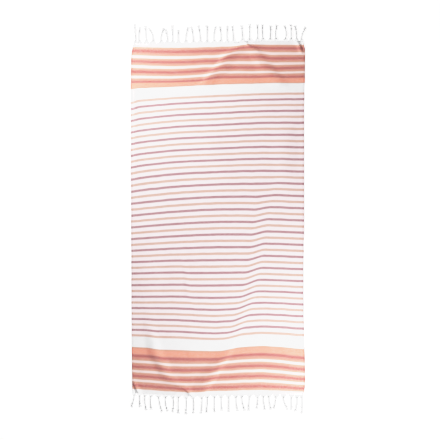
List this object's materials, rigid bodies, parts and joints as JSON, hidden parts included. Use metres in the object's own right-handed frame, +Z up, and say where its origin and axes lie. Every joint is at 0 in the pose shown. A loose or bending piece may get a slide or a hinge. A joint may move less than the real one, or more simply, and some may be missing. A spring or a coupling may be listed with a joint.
{
  "type": "beach towel",
  "caption": "Flat-woven striped cotton beach towel laid out flat, with soft ripples and a knotted fringe along both ends.",
  "frame": {"origin": "centre of the laid towel's outline, fringes included, on the surface it lies on", "axes": "+Z up from the surface, +Y along the towel's length towards the end that is at the top of the picture, +X across it to the picture's right"},
  "size_m": [0.8956, 1.9914, 0.0086],
  "materials": {
    "striped_cotton": "matte plain weave",
    "fringe_cotton": "matte twisted yarn"
  },
  "bodies": {
    "root": {"woven_cloth": "striped_cotton", "fringe_top": "fringe_cotton", "fringe_bottom": "fringe_cotton"}
  },
  "joints": []
}
